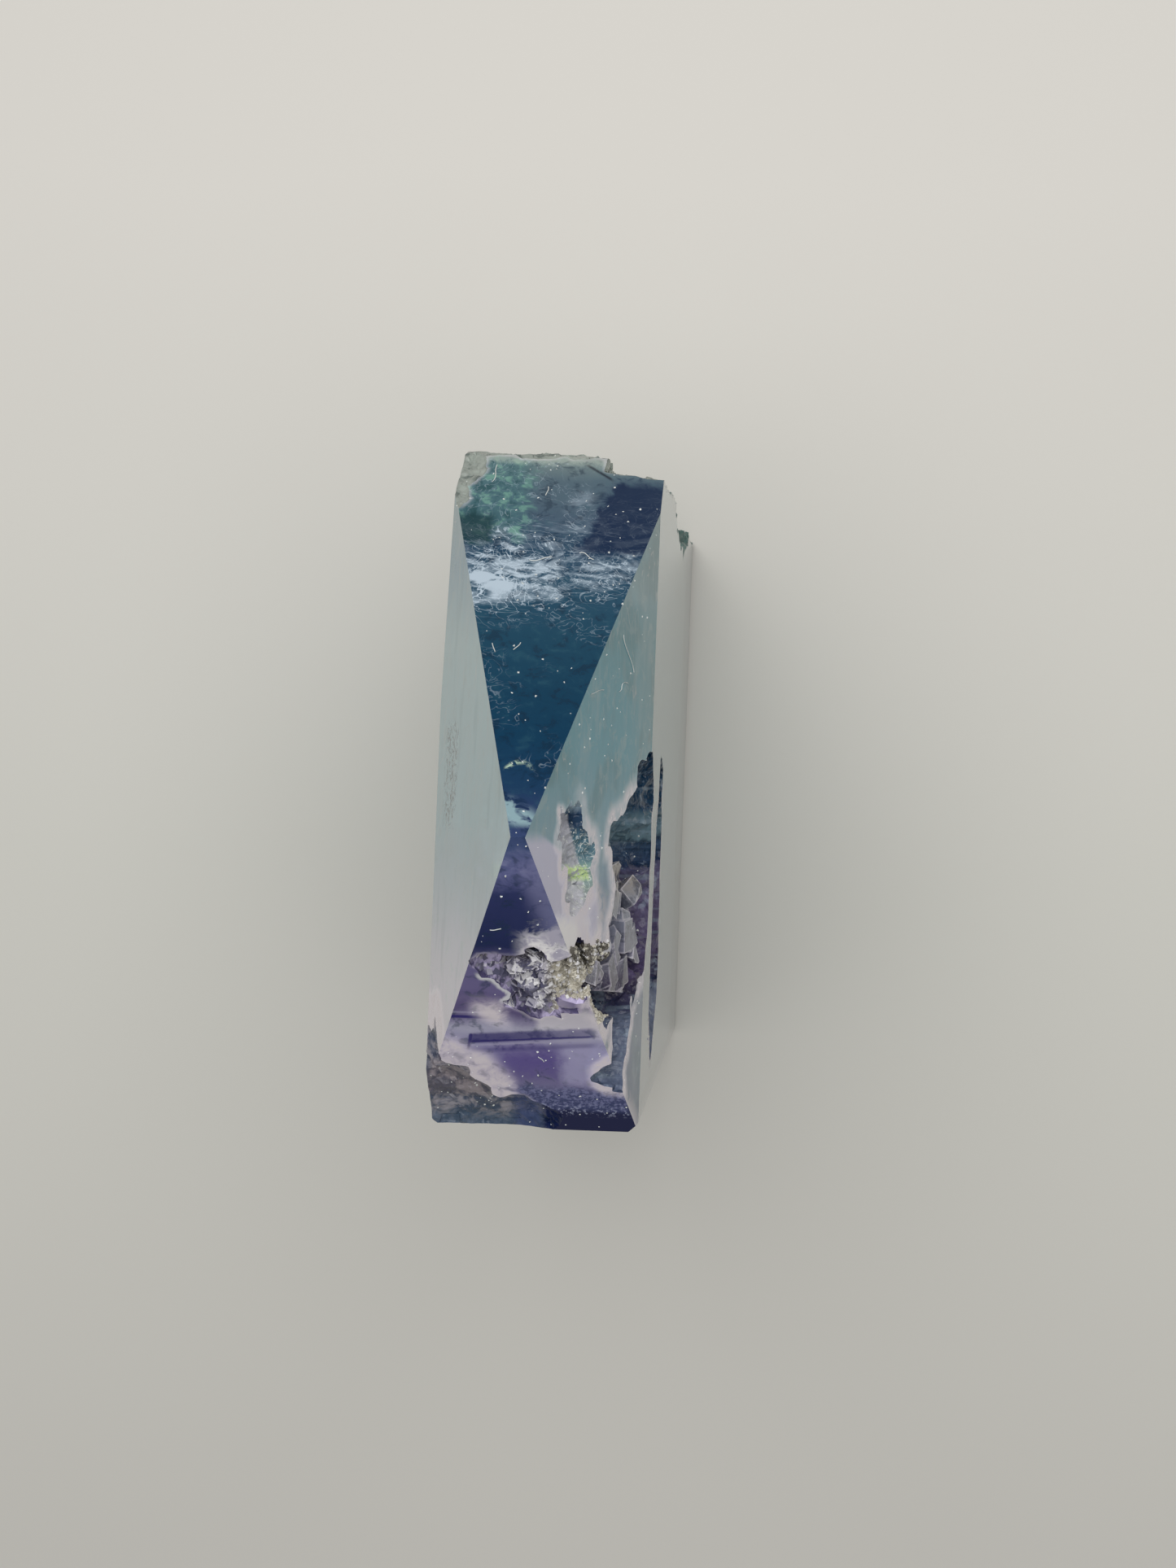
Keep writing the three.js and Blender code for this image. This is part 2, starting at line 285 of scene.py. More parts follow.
def table_finish():
    material, tree, principled, _, at = new_material("pale_table")
    x, _, _ = tree.axes(at)
    # The table is painted lighter towards +X, the stone's broken end, and darker towards -X: a painted
    # gradient of light, on top of the panel's own.
    light = stops(srgb, (-60.0, 197, 196, 191), (0.0, 206, 206, 200), (60.0, 221, 219, 214))
    colour = tree.bands(x + tree.noise(at, 0.02, 2) * 16.0, light)
    tree.fill(principled, {"Base Color": colour, "Roughness": 0.55})
    return material


bm = shape_of()
bmesh.ops.create_grid(bm, x_segments=1, y_segments=1, size=TABLE_HALF)
bmesh.ops.translate(bm, verts=bm.verts, vec=(0, 0, -UNDER_STONE))
table_mesh = mesh_of(bm, "table")
table_mesh.materials.append(table_finish())
table = in_scene("table", table_mesh)

# %% Light
WARM_WHITE = (1.0, 0.985, 0.96)
PANEL_AT = Vector((90, 0, 450)) * MM
STONE_MIDDLE = Vector((0, 0, 40)) * MM

scene.world = bpy.data.worlds.new("soft_room")
scene.world.use_nodes = True
room = scene.world.node_tree.nodes["Background"].inputs
room["Color"].default_value = (*WARM_WHITE, 1)
room["Strength"].default_value = 0.22

panel = bpy.data.lights.new("ceiling_panel", "AREA")
panel.size = 0.5
panel.energy = 1.95
panel.color = WARM_WHITE
lamp = in_scene("ceiling_panel", panel)
aim = (STONE_MIDDLE - PANEL_AT).to_track_quat("-Z", "Y")
lamp.matrix_world = Matrix.Translation(PANEL_AT) @ aim.to_matrix().to_4x4()

scene.view_settings.view_transform = "Standard"
scene.cycles.max_bounces = 9
scene.cycles.glossy_bounces = 5
scene.cycles.transmission_bounces = 8
scene.cycles.diffuse_bounces = 2
scene.cycles.sample_clamp_indirect = 6
print("light paths may bend", scene.cycles.max_bounces, "times")

# %% [markdown]
# ## The stone's form
# The polished planes of the stone are right as they are: they are flat. Its broken places are only roughed
# out, with steps of about a millimetre, and a real break goes on to much finer steps. A texture could fake
# those with bump, but a glassy stone bends every ray by its true surface, so the breaks are made finer in
# the mesh. The polished planes are found by their large triangles. Then everything else is split up and
# pushed in and out by noise of two sizes, the border of each break is made ragged within its plane, and the
# planes are filled again.

# %% Polished planes and broken places
LARGE = 3 * MM**2  # a triangle this large is on a polished plane
ON_PLANE = 0.002 * MM
FINE = 0.3 * MM  # the longest edge left on a broken surface
FARTHEST = 5.0  # mm, the largest distance from a break that is told apart


def polished_planes(bm):
    """The planes that hold the stone's large triangles, as (normal, distance from the origin)."""
    planes = []
    for face in sorted(bm.faces, key=lambda f: -f.calc_area()):
        if face.calc_area() < LARGE:
            break
        flat = (face.normal.copy(), face.normal.dot(face.verts[0].co))
        if not any(lies_on(face, plane) for plane in planes):
            planes.append(flat)
    return planes


def lies_on(face, plane):
    normal, far = plane
    return all(abs(normal.dot(v.co) - far) < ON_PLANE for v in face.verts)


def split_edges(bm, too_long, rounds):
    """Halves every edge that too_long(edge) picks, some rounds over, and keeps the mesh triangles."""
    for _ in range(rounds):
        edges = [edge for edge in bm.edges if too_long(edge)]
        if not edges:
            break
        bmesh.ops.subdivide_edges(bm, edges=edges, cuts=1)
        many_sided = [face for face in bm.faces if len(face.verts) > 3]
        bmesh.ops.triangulate(bm, faces=many_sided)


def plate_noise(at, size, seed):
    """Small tilted plates, about size across, each at its own height, from about -1 to 1."""
    spot = at / size + Vector((seed, 2 * seed, 3 * seed))
    nearest = noise.voronoi(spot)[1][0]
    tilt = noise.noise_vector(nearest * 7.3)
    return noise.noise(nearest * 3.7) + 1.4 * tilt.dot(spot - nearest)


def roughened(at, normal):
    """How far a spot of a broken surface moves along its normal."""
    plates = 0.16 * plate_noise(at, 0.9 * MM, 3)
    chips = 0.06 * plate_noise(at, 0.33 * MM, 8)
    return normal * (plates + chips) * MM


def ragged(at, planes):
    """A small step for a spot on a break's border, within every polished plane that meets there."""
    coarse = noise.noise_vector(at / (0.9 * MM)) * 0.16 * MM
    step = coarse + noise.noise_vector(at / (0.3 * MM)) * 0.07 * MM
    if len(planes) == 1:
        return step - planes[0] * step.dot(planes[0])
    if len(planes) == 2:
        along = planes[0].cross(planes[1]).normalized()
        return along * step.dot(along)
    return Vector()


def refill(bm, layer, number, normal):
    """Fills one polished plane again, inside its border as it is now."""
    old = [face for face in bm.faces if face[layer] == number]
    border = [e for e in bm.edges if sorted(f[layer] == number for f in e.link_faces) == [False, True]]
    bmesh.ops.delete(bm, geom=old, context="FACES")
    made = bmesh.ops.triangle_fill(bm, use_beauty=True, edges=border, normal=normal)
    for face in made["geom"]:
        if isinstance(face, bmesh.types.BMFace):
            face[layer] = number


def finely_broken(node_mesh):
    """The stone with fine breaks, and with attributes that tell its material where they are."""
    bm = shape_of(node_mesh)
    bmesh.ops.remove_doubles(bm, verts=bm.verts, dist=SAME_SPOT)
    planes = polished_planes(bm)
    layer = bm.faces.layers.int.new("plane")  # 0 on a broken surface, or the polished plane's number
    for face in bm.faces:
        face[layer] = next((n for n, plane in enumerate(planes, 1) if lies_on(face, plane)), 0)
    split_edges(bm, lambda e: e.calc_length() > FINE and any(f[layer] == 0 for f in e.link_faces), 4)
    moves = {}
    for vert in bm.verts:
        numbers = {face[layer] for face in vert.link_faces}
        if numbers == {0}:
            moves[vert] = roughened(vert.co, vert.normal)
        elif 0 in numbers:
            moves[vert] = ragged(vert.co, [planes[n - 1][0] for n in numbers if n])
    for vert, step in moves.items():
        vert.co += step
    for number, (normal, _) in enumerate(planes, 1):
        refill(bm, layer, number, normal)
    loose = [e for e in bm.edges if len(e.link_faces) != 2]
    print("polished planes:", len(planes), " edges left open:", len(loose))

    near = lookup([v.co for v in bm.verts if len({f[layer] == 0 for f in v.link_faces}) == 2])

    def coarse(edge):
        """Polished triangles grow with their distance from the nearest break."""
        if any(face[layer] == 0 for face in edge.link_faces):
            return False
        middle = (edge.verts[0].co + edge.verts[1].co) / 2
        return edge.calc_length() > 0.45 * MM + 0.8 * near.find(middle)[2]

    split_edges(bm, coarse, 9)
    bmesh.ops.recalc_face_normals(bm, faces=bm.faces)
    broken = [float(face[layer] == 0) for face in bm.faces]
    ground = [float(face[layer] > 0 and face.normal.z < -0.5) for face in bm.faces]
    far = distances(bm, near, FARTHEST)
    mesh = mesh_of(bm, "fluorite_stone")
    store(mesh, "broken", "FACE", broken)
    store(mesh, "ground", "FACE", ground)
    store(mesh, "from_break", "POINT", far)
    print("stone triangles:", len(mesh.polygons))
    return mesh


def placed(name, mesh, slot=None, *nodes):
    """Puts a finished piece at the origin, riding with the stone, in place of the nodes it stands for."""
    piece = in_scene(name, mesh)
    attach(piece, "root")
    if nodes:
        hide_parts(*nodes)


stone_mesh = finely_broken(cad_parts["fluorite_point"].data)

# %% [markdown]
# ## Banded fluorite
# Fluorite grows in zones that lie flat on its cube faces, so every zone here is a band across the stone's
# length. Light sinks deep into a polished face that is looked at squarely, and comes back dark and
# saturated. A face at a glancing angle mirrors the table and shows the milky skin of the stone. A real
# volume of changing colour would be the true way, but it is slow and noisy. Here one even absorption gives
# the depth, and the bands tint what passes through the surface.

# %% The stone's colours along its length
SCATTER = 0.62  # the share of the light that the stone's cloudiness sends back
LIT = 0.95  # how brightly a sloping facet is lit, against white
MIRROR = 0.006  # what a facet mirrors of the dim room


def deep(red, green, blue, share=SCATTER):
    """The colour the stone needs for its scattered light to show as this screen colour."""
    shown = srgb(red, green, blue)[:3]
    return (*(min(max(c - MIRROR, 0) / (share * LIT), 0.95) for c in shown), 1.0)


DEEP = stops(  # looked into, from the polished end to the broken end
    deep,
    (-21.3, 6, 28, 66),
    (-19.9, 26, 36, 74),
    (-18.3, 112, 108, 140),
    (-16.9, 96, 88, 130),
    (-15.4, 128, 122, 158),
    (-14.1, 160, 158, 176),
    (-13.6, 122, 116, 144),
    (-13.1, 84, 74, 112),
    (-12.0, 98, 90, 128),
    (-10.4, 96, 90, 128),
    (-8.8, 20, 32, 74),
    (-6.0, 40, 48, 90),
    (-4.6, 92, 96, 138),
    (-3.4, 62, 78, 116),
    (-1.6, 48, 62, 102),
    (-0.2, 30, 60, 92),
    (2.5, 14, 58, 86),
    (5.0, 12, 60, 86),
    (8.7, 24, 68, 92),
    (11.5, 34, 74, 98),
    (14.0, 36, 68, 94),
    (16.5, 66, 88, 108),
    (19.0, 80, 102, 116),
    (21.3, 128, 146, 144),
)
PALE_BACK = stops(  # the milky skin, seen at a glancing angle
    srgb,
    (-21.3, 222, 212, 226),
    (-14.0, 246, 238, 250),
    (-9.0, 236, 238, 250),
    (-6.0, 222, 240, 250),
    (-2.0, 206, 240, 248),
    (8.0, 212, 246, 252),
    (13.0, 160, 204, 226),
    (21.3, 190, 218, 214),
)
PALE_FRONT = stops(
    srgb,
    (-21.3, 150, 160, 190),
    (-12.0, 190, 194, 220),
    (-7.0, 172, 196, 224),
    (-3.0, 158, 206, 226),
    (2.0, 112, 196, 216),
    (9.0, 106, 186, 202),
    (12.5, 164, 216, 232),
    (21.3, 140, 186, 196),
)
CREAM = srgb(236, 228, 234)
FROST = srgb(204, 222, 238)


# %% [markdown]
# ### Where things are on the stone
# All patterns are worked out from the same few facts about a spot: its place in millimetres, which way its
# face looks, whether it is broken, and how far it is from the nearest break. They are gathered once, so
# that each feature below is only a line or two of arithmetic on them.

# %% Facts about a spot of the stone
class Spot:
    """The facts about a spot of the stone's surface, as sockets of one material's tree."""

    def __init__(self, tree, at):
        self.at = at
        self.x, self.y, self.z = tree.axes(at)
        looks_x, looks_y, looks_z = tree.axes(tree.add("ShaderNodeNewGeometry").outputs["Normal"])
        self.broken = tree.attribute("broken")
        self.ground = tree.attribute("ground")
        self.from_break = tree.attribute("from_break")
        self.past_hip = self.y + 1.3 + (self.x + 2.8) * -0.2865  # along Y, from the low facet's long edge
        self.from_ridge = self.y + self.x * -0.2  # across the small hollow beside the ridge
        self.polished = 1.0 - self.broken
        sideways = abs(looks_y).between(0.6, 0.9)
        self.side_face = sideways * self.polished
        self.end_facet = self.polished - self.side_face
        self.front = looks_y.between(-0.1, -0.3)
        self.back = looks_y.between(0.1, 0.3)
        self.sloping = looks_z.between(0.08, 0.16)
        self.on_natural = self.end_facet * looks_x.between(0.4, 0.7)
        self.on_low = self.end_facet * looks_x.between(-0.4, -0.7)
        self.cloud = tree.noise(at, 0.16, 2, 0.6, 0.6)
        self.fine_cloud = tree.noise(at, 0.9, 3, 0.65, 0.4)
        self.grit = tree.noise(at, 3.6, 2, 0.7)
        self.drift = self.cloud - 0.5
        self.stir = self.fine_cloud - 0.5
        self.curls = tree.threads(at, 0.5, 2.6, 0.022, 2)
        self.small_curls = tree.threads(at, 0.85, 2.6, 0.04, 1)

    def within(self, x=None, y=None, soft=0.5):
        """1 inside a range of x and of y, with soft borders that waver with the clouds."""
        inside = 1.0
        for value, span in ((self.x, x), (self.y, y)):
            if span:
                wavering = value + self.stir * 2.4 * soft
                low = wavering.between(span[0] - soft, span[0] + soft)
                high = wavering.between(span[1] + soft, span[1] - soft)
                inside = inside * low * high
        return inside


# %% [markdown]
# ### Veils
# A veil is a sheet of tiny bubbles and healed cracks inside the stone. It reads as white mist with brighter
# threads and lace in it. Threads are drawn where a noise crosses its middle value: that is always a line,
# and the noise's own distortion makes it curl. The mist is a stretched noise at low contrast.

# %% The veil near the broken end
def veil_of(tree, spot):
    """How white the stone is with veil, from 0 to 1."""
    slant = (spot.y - 1.2).at_most(0.0) * 0.3
    x = spot.x + slant + spot.drift * 2.0 + spot.stir * 0.8
    left = spot.y.between(-3.0, 3.4)
    fog = tree.noise(spot.at, (0.75, 0.42, 0.6), 3, 0.52, 1.3)
    bright = x.between(10.3, 10.9) * x.between(13.2, 11.3)
    upper = x.between(11.0, 12.4) * x.between(16.4, 13.4)
    near = x.between(8.4, 10.5) * x.between(17.0, 14.2)
    corner = left.between(0.45, 1.0)
    mist = bright * fog.between(0.36, 0.68) * 0.8
    wisps = upper * fog.between(0.42, 0.64) * left.between(0, 1, 0.3, 0.75)
    long_threads = tree.threads(spot.at, (1.6, 0.3, 0.9), 1.2, 0.014, 2)
    lines = (
        long_threads * near * 0.5
        + spot.curls * near * left.between(0, 1, 0.35, 1.0)
        + spot.small_curls * upper * corner * 0.5
        + spot.small_curls * bright * 0.3
        + spot.curls * spot.cloud.between(0.48, 0.6) * 0.35
    )
    patch = x.band(16.2, 17.4, 0.5) * spot.y.band(-2.4, -0.8, 0.5) * fog.between(0.46, 0.6)
    grains = spot.grit.between(0.62, 0.68) * largest(bright, upper)
    every = mist + wisps + lines + patch * 0.3 + grains * 0.2
    dark = largest(navy_of(spot), wedge_of(spot))
    clear_corner = 1.0 - dark * 0.85
    return every.at_most(1.0) * spot.on_natural * clear_corner


# %% [markdown]
# ### Growth lines
# Where the growing crystal paused, a thin dark line lies across the stone. Two show in the low facet: a
# short one, and a long double one that turns a corner. Each line is a narrow hump over the distance from
# its middle.

# %% Growth lines in the low facet
def growth_lines(spot):
    """How dark and how pale the growth lines make the stone."""
    across = spot.y.between(-4.7, -3.9) * spot.y.between(3.1, 2.9)
    lean = spot.x + spot.y * 0.09 + spot.stir * 0.12
    fading = spot.y.between(-5.0, 1.5, 0.55, 1.0)
    dark = (
        lean.band(-14.95, -14.4, 0.12) * across * fading * 0.85
        + lean.band(-15.04, -14.9, 0.05) * across * 0.7
        + lean.band(-15.7, -15.4, 0.12) * across * 0.4
    )
    turn = spot.y + (spot.x + 14.9) * 0.25
    down = spot.x.between(-15.9, -15.6) * spot.x.between(-14.6, -14.8)
    dark = dark + turn.band(2.92, 3.08, 0.06) * down
    short = spot.y.between(0.4, 1.6) * spot.x.band(-13.64, -13.44, 0.06)
    dark = dark + short
    pale = lean.band(-15.24, -15.14, 0.05) * across * 0.8
    above = spot.x.band(-13.3, -13.2, 0.06) * spot.y.between(0.8, 1.8)
    pale = pale + above * 0.7
    return dark.at_most(1.0) * spot.on_low, pale * spot.on_low


# %% [markdown]
# ### The deep colours
# What is looked into at the two end facets starts as the bands, and gets what breaks their evenness: a
# green cloud and an inky corner at the broken end, a violet glow under the growth lines, white mist over
# the upper hollow, and a mottled dark foot.

# %% Deep colours
THICK = 0.95  # the share that scatters where the stone is darkest, so that little shines through


def wedge_of(spot):
    """The dark wedge beside the green cloud."""
    return spot.within(x=(14.3, 16.5), y=(3.3, 8.0), soft=0.45) * spot.on_natural


def navy_of(spot):
    """The inky corner at the broken end."""
    slanting = spot.y + (spot.x - 16.5) * 0.35 + spot.stir * 1.8
    corner = spot.within(x=(13.9, 19.1), soft=0.5) * slanting.between(-2.2, -3.1)
    return corner * spot.on_natural


def deep_colour(tree, spot):
    """The colour, and how much more than usual it scatters."""
    waver = spot.x + spot.drift * 2.0 + spot.stir * 0.7
    body = tree.bands(waver, DEEP)
    shade = spot.fine_cloud.between(0.48, 0.34)
    glow = spot.fine_cloud.between(0.52, 0.75)
    green = spot.within(x=(15.0, 23.0), y=(1.6, 9.0), soft=0.9) * spot.on_natural
    navy = navy_of(spot)
    wedge = wedge_of(spot)

    def low(x, y, soft):
        return spot.within(x, y, soft) * spot.on_low

    slanting = spot.x + spot.y * -0.6
    slash = slanting.hump(21.25, 0.18) * spot.y.band(-3.4, -1.7, 0.2)
    violet = low((-17.1, -15.5), (-2.4, 1.4), 0.8)
    low_right = low((-18.0, -15.2), (-6.0, -2.2), 0.5)
    mottled = low((-19.9, -18.2), (-6.0, 0.6), 0.35)
    foot = low((-23.0, -19.8), (-8.0, 3.0), 0.25)
    speckled = spot.x.band(-20.1, -19.4, 0.3) * spot.grit.between(0.56, 0.64) * spot.on_low
    apex = spot.x.hump(-4.4, 1.6) * spot.fine_cloud.between(0.45, 0.7) * spot.on_low
    from_hollow = spot.from_break + spot.stir * 5.5
    over_hollow = from_hollow.between(2.1, 0.7) * spot.y.band(-3.9, -0.5, 0.7)
    mist = over_hollow * spot.x.between(-10.6, -10.2) * spot.x.between(-6.6, -7.4) * spot.on_low
    haze = spot.past_hip.between(1.7, 0.2) * spot.x.band(-8.4, -4.0, 0.9) * spot.on_low
    ledge = low((-14.3, -13.0), (-5.2, -1.0), 0.3)
    mottle = tree.mix(spot.grit.between(0.42, 0.6), deep(52, 60, 98), deep(104, 108, 144))
    # A pale crescent and pale blotches near the tip are painted glints: painted highlights on the natural
    # facet.
    away_x = spot.x - 0.4
    away_y = spot.y + 0.45
    ring = tree.math("SQRT", away_x * away_x + away_y * away_y).hump(0.85, 0.2) * spot.on_natural
    crescent_glint = ring * spot.x.between(0.75, 1.0) * spot.grit.between(0.4, 0.55)
    crescent_glint = crescent_glint * spot.y.between(-1.4, 0.4, 0.35, 1.0)
    glint_blotches = slanting.band(-1.8, -0.5, 0.4) * spot.x.band(-2.1, -0.6, 0.25)
    glint_blotches = glint_blotches * spot.fine_cloud.between(0.4, 0.55)
    grey, cream = deep(176, 172, 184, THICK), deep(240, 236, 232, THICK)
    milky = tree.mix(spot.fine_cloud.between(0.38, 0.6), grey, cream)
    colour = tree.painted(
        body,
        (shade, 0.55, deep(14, 42, 64)),
        (glow * spot.on_natural, 0.25, deep(58, 102, 116)),
        (green, 0.7, deep(66, 108, 116)),
        (green * spot.fine_cloud.between(0.49, 0.64), 0.8, deep(112, 158, 146)),
        (green * shade, 0.6, deep(28, 72, 78)),
        (slash * spot.on_natural, 0.9, deep(14, 34, 58, THICK)),
        (wedge, 0.9, deep(18, 54, 62, THICK)),
        (navy, 0.97, deep(8, 40, 72, THICK)),
        # painted glints near the tip
        (crescent_glint, 0.9, deep(196, 222, 196, THICK)),
        (glint_blotches * spot.on_natural, 0.85, deep(150, 180, 188)),
        (violet, 0.8, deep(82, 68, 130)),
        (low_right, 0.75, deep(158, 154, 184)),
        (mottled, 0.85, mottle),
        (foot, 0.97, deep(0, 24, 62, THICK)),
        (speckled, 0.55, deep(150, 156, 176)),
        (apex, 0.7, deep(132, 134, 168)),
        (haze * spot.fine_cloud.between(0.36, 0.56, 0.5, 1.0), 0.75, deep(110, 112, 146)),
        (ledge, 0.8, deep(196, 192, 194, THICK)),
        (mist, 0.9, milky),
    )
    thick = largest(foot, navy, wedge)
    bright = largest(mist, ledge, crescent_glint)
    extra = largest(thick, bright) * (THICK - SCATTER)
    chips = spot.within(x=(-12.5, -10.8), y=(0.0, 2.6), soft=0.2) * spot.from_break.between(0.35, 0.1)
    colour = tree.painted(colour, (chips * spot.on_low, 0.9, deep(206, 216, 198)))
    lit_less = tree.stretched(colour, 1.2, 1.22, 1.28)  # the low facet looks away from the light
    return tree.mix(spot.on_low, colour, lit_less), extra


# %% [markdown]
# ### The pale skins
# The long side facets are seen at a glancing angle and show a milky skin instead of the depth. It has faint
# streaks up and down the slope, a lavender tongue beside the ridge, and a few dark flecks where the polish
# has plucked the surface. Where the front face stands upright, it is painted near the table's colour: a
# painted reflection of the table.

# %% Pale skins
def skin_and_reflection_colour(tree, spot):
    waver = spot.x + spot.drift * 3.4
    back = tree.bands(waver, PALE_BACK)
    front = tree.bands(waver, PALE_FRONT)
    skin = tree.mix(spot.front, back, front)
    streaks = tree.noise(spot.at, (0.16, 1.1, 0.5), 2, 0.6)
    scratches = tree.threads(spot.at, (0.22, 0.9, 0.7), 0.8, 0.012, 2)
    inside = spot.past_hip + spot.x.hump(-6.2, 6.0) * 2.0
    tongue = spot.front * inside.between(-0.15, 0.15) * spot.x.between(-2.2, -3.2)
    rim = spot.front * inside.band(-0.25, 0.1, 0.2) * spot.x.between(-3.2, -4.2)
    flecked = spot.x.band(-2.6, 3.4, 0.5) * spot.y.band(4.6, 5.7, 0.3) * spot.back
    plucked = tree.threads(spot.at, (0.8, 1.6, 1.0), 2.2, 0.09, 1)
    flecks = plucked * spot.grit.between(0.46, 0.5) * flecked
    smoky = spot.front * spot.cloud.between(0.46, 0.6)
    over_gap = spot.front * spot.within(x=(-9.6, -7.2), y=(-3.7, -1.6), soft=0.6)
    high_haze = spot.front * spot.within(x=(11.0, 13.2), y=(-6.2, -4.6), soft=0.6)
    upright = spot.front * (1.0 - spot.sloping)
    extra = tongue * 0.26 + over_gap * 0.4 + upright * 0.08
    colour = tree.painted(
        skin,
        (smoky, 0.45, srgb(96, 150, 156)),
        # the upright front face is painted near the table's colour, a painted reflection of the table it
        # mirrors
        (upright, 0.5, srgb(226, 228, 222)),
        (spot.front * spot.y.between(-5.3, -6.4), 0.35, srgb(190, 204, 200)),
        (streaks.between(0.5, 0.72), 0.2, srgb(226, 236, 238)),
        (streaks.between(0.46, 0.3), 0.15, srgb(96, 136, 146)),
        (spot.fine_cloud.between(0.5, 0.72), 0.4, srgb(206, 226, 226)),
        (scratches * spot.cloud.between(0.44, 0.6), 0.6, srgb(240, 244, 244)),
        (tongue, 0.85, srgb(226, 220, 246)),
        (rim * spot.fine_cloud.between(0.3, 0.5), 0.95, srgb(250, 244, 252)),
        (over_gap, 0.9, srgb(250, 248, 248)),
        (high_haze, 0.5, srgb(190, 220, 226)),
        (flecks, 0.95, srgb(14, 26, 30)),
    )
    return colour, extra


# %% [markdown]
# ### Breaks
# A fresh break in fluorite follows cleavage planes, and every step of it scatters light. Deep in the
# hollows the break looks dark, because the stone behind it is deep. Along a break's border the polished
# skin is frosted, rougher and milkier, and painted pale: partly for the frost, and partly as painted light,
# the glow of the light that the break lets into the skin.

# %% Breaks and their lips
RECESS = stops(  # down the break across the front shoulder, from the polished end to the middle
    deep,
    (-19.0, 74, 86, 112),
    (-16.7, 98, 108, 128),
    (-13.9, 96, 106, 128),
    (-13.5, 44, 48, 74),
    (-12.0, 58, 52, 72),
    (-11.4, 74, 64, 94),
    (-6.4, 100, 92, 120),
    (-5.2, 82, 80, 108),
    (-4.9, 30, 46, 72),
    (-3.8, 58, 78, 102),
    (-3.5, 28, 50, 70),
    (-3.2, 96, 120, 130),
    (-1.8, 88, 112, 124),
    (-1.3, 30, 58, 82),
    (1.5, 22, 46, 68),
)
RIDGE_GAP = stops(  # down the small hollow beside the ridge
    deep,
    (-7.2, 160, 160, 166),
    (-6.2, 134, 140, 142),
    (-5.4, 124, 142, 140),
    (-4.6, 120, 144, 138),
    (-4.1, 92, 118, 128),
    (-2.9, 72, 100, 114),
    (-2.3, 40, 58, 80),
    (-1.6, 34, 52, 76),
    (-1.2, 96, 114, 128),
    (-0.6, 150, 164, 170),
)


def ridge_gap_of(spot):
    """1 on the broken surface of the small hollow beside the ridge."""
    high = spot.z.between(66.0, 67.0) * spot.y.between(-1.0, -2.0)
    return high * spot.x.between(-8.0, -7.2) * spot.broken


def upper_hollow_of(spot):
    """1 on the walls of the upper hollow."""
    return spot.x.band(-14.5, -9.0, 0.3) * spot.z.between(63.0, 65.0) * spot.broken


def break_colour(tree, spot, body):
    strata = tree.noise(spot.at, (1.7, 0.14, 0.2), 2, 0.5)
    in_recess = spot.y.between(-2.6, -3.8)
    recess = tree.bands(spot.x + spot.stir * 0.9, RECESS)
    low = spot.within(x=(-24.0, -13.2), y=(-0.6, 9.0), soft=0.4)
    earthy = tree.mix(spot.fine_cloud.between(0.42, 0.6), deep(78, 88, 106), deep(138, 136, 142))
    rust = low * spot.cloud.between(0.48, 0.58) * spot.x.between(-20.0, -18.8)
    blue_foot = (spot.x + spot.stir * 2.0).between(-19.8, -20.8)
    at_end = spot.x.between(14.0, 16.5)
    ridge = ridge_gap_of(spot)
    upper = upper_hollow_of(spot)
    lilac = tree.mix(spot.fine_cloud.between(0.4, 0.58), deep(84, 78, 112), deep(168, 160, 190))
    gap = tree.bands(spot.x + spot.stir * 0.8, RIDGE_GAP)
    left_wall = (spot.from_ridge + spot.stir * 0.4).between(-2.46, -2.3)
    glint = spot.x.band(-5.3, -4.5, 0.2) * spot.from_ridge.between(-2.9, -2.7)
    return tree.painted(
        body,
        (in_recess, 0.95, recess),
        (in_recess * spot.fine_cloud.between(0.56, 0.7), 0.45, deep(150, 164, 178)),
        (in_recess * strata.between(0.42, 0.34), 0.6, deep(22, 40, 62)),
        (in_recess * strata.between(0.58, 0.66), 0.35, deep(130, 146, 160)),
        (low, 0.9, earthy),
        (rust, 0.25, deep(126, 104, 94)),
        (low * blue_foot, 0.8, deep(70, 88, 108)),
        (low * spot.y.between(1.6, 0.6), 0.85, deep(66, 78, 116)),
        (at_end, 0.9, srgb(186, 194, 186)),
        (at_end * spot.fine_cloud.between(0.44, 0.36), 0.6, srgb(92, 112, 110)),
        (at_end * spot.z.between(46.0, 42.0), 0.8, srgb(74, 122, 118)),
        (ridge, 0.95, gap),
        (ridge * spot.small_curls * spot.x.band(-6.6, -2.6, 0.5), 0.9, srgb(236, 242, 240)),
        (ridge * left_wall, 0.85, srgb(206, 206, 216)),
        # painted glints in the small hollow: a yellow-green one, and white specks
        (ridge * glint * spot.grit.between(0.42, 0.5), 0.95, srgb(220, 246, 176)),
        (ridge * spot.grit.between(0.6, 0.68), 0.7, srgb(240, 244, 240)),
        (upper, 0.9, lilac),
    )


